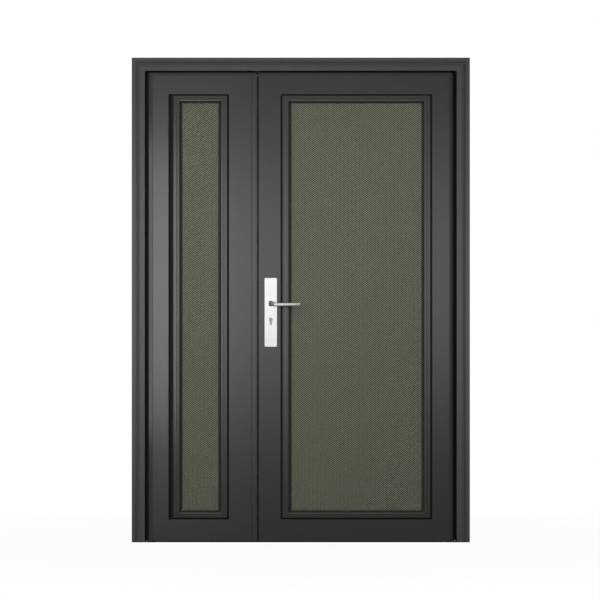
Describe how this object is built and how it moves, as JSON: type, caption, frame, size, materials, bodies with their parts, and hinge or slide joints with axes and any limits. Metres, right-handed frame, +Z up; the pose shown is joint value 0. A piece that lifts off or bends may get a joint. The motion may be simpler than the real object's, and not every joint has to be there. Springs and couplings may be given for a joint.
{
  "type": "unequal pair security door",
  "caption": "Metal entrance door with a stepped frame, a narrow and a wide pivot-hung leaf, moulded mesh panels, and a sprung lever with a lock cylinder on a long plate.",
  "frame": {"origin": "on the wide leaf's pivot axis, on the underside of its floor plate", "axes": "+X towards the wide leaf's jamb, +Y through the door from outside to inside, +Z up"},
  "size_m": [1.5, 0.1762, 2.15],
  "materials": {
    "frame_coat": "satin charcoal powder coat",
    "leaf_coat": "satin charcoal powder coat, slightly warm",
    "mesh_coat": "matt olive coated diamond mesh",
    "core_coat": "matt dark olive sheet",
    "satin_stainless": "fine satin stainless steel",
    "nickel_brass": "satin nickel plated brass",
    "plain_steel": "zinc plated steel"
  },
  "bodies": {
    "frame": {"left_jamb": "frame_coat", "right_jamb": "frame_coat", "head": "frame_coat", "left_floor_pivot": "plain_steel", "right_floor_pivot": "plain_steel", "left_head_pivot": "plain_steel", "right_head_pivot": "plain_steel"},
    "narrow_leaf": {"narrow_hinge_stile": "leaf_coat", "narrow_meeting_stile": "leaf_coat", "narrow_top_rail": "leaf_coat", "narrow_bottom_rail": "leaf_coat", "narrow_meeting_strip": "leaf_coat", "narrow_outside_bead": "leaf_coat", "narrow_inside_bead": "leaf_coat", "narrow_outside_mesh": "mesh_coat", "narrow_inside_mesh": "mesh_coat", "narrow_core_panel": "core_coat", "strike_plate": "plain_steel"},
    "wide_leaf": {"wide_hinge_stile": "leaf_coat", "wide_lock_stile": "leaf_coat", "wide_top_rail": "leaf_coat", "wide_bottom_rail": "leaf_coat", "wide_outside_bead": "leaf_coat", "wide_inside_bead": "leaf_coat", "wide_outside_mesh": "mesh_coat", "wide_inside_mesh": "mesh_coat", "wide_core_panel": "core_coat", "outside_lock_plate": "satin_stainless", "inside_lock_plate": "satin_stainless", "lock_cylinder": "nickel_brass", "lock_front": "plain_steel", "lock_bolts": "plain_steel"},
    "lever": {"outside_lever": "satin_stainless", "inside_lever": "satin_stainless", "lever_spindle": "plain_steel"}
  },
  "joints": [
    {"name": "wide_leaf_swing", "type": "hinge", "parent": "frame", "child": "wide_leaf", "pos_m": [0, 0, 0], "axis": [0, 0, 1], "range_deg": [0, 90]},
    {"name": "narrow_leaf_swing", "type": "hinge", "parent": "frame", "child": "narrow_leaf", "pos_m": [-1.31, 0, 0], "axis": [0, 0, -1], "range_deg": [0, 90]},
    {"name": "lever_turn", "type": "hinge", "parent": "wide_leaf", "child": "lever", "pos_m": [-0.788, 0, 1.06], "axis": [0, 1, 0], "range_deg": [0, 45], "stiffness_Nm_per_rad": 2, "springref_deg": -34.38}
  ]
}
